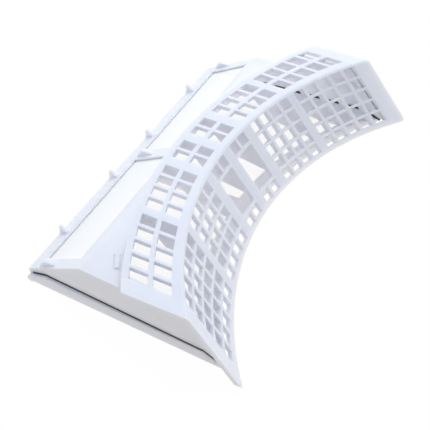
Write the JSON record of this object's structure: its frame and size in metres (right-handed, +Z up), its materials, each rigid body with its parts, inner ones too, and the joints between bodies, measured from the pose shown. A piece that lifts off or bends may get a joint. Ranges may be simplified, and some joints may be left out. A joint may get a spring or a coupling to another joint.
{
  "type": "tumble dryer filter",
  "caption": "White plastic lint filter for a tumble dryer: a hinged wedge-shaped bag with mesh windows and an arched, perforated grille along its front.",
  "frame": {"origin": "middle of the bounding box, on the flat underside of the lower half", "axes": "+X along the hinge, +Z up, grille facing -Y, hinge at +Y"},
  "size_m": [0.32, 0.1826, 0.053],
  "materials": {
    "shell": "satin white",
    "grille": "satin white",
    "mesh": "fine woven gauze",
    "seal": "matt dark"
  },
  "bodies": {
    "tray": {"lower_shell": "shell", "lower_screen_left": "mesh", "lower_screen_right": "mesh", "seal_left": "seal", "seal_right": "seal"},
    "hood": {"upper_shell": "shell", "grille": "grille", "upper_screen_left": "mesh", "upper_screen_right": "mesh"}
  },
  "joints": [
    {"name": "bag_hinge", "type": "hinge", "parent": "tray", "child": "hood", "pos_m": [0, 0.08834, 0.0032], "axis": [-1, 0, 0], "range_deg": [0, 90]}
  ]
}
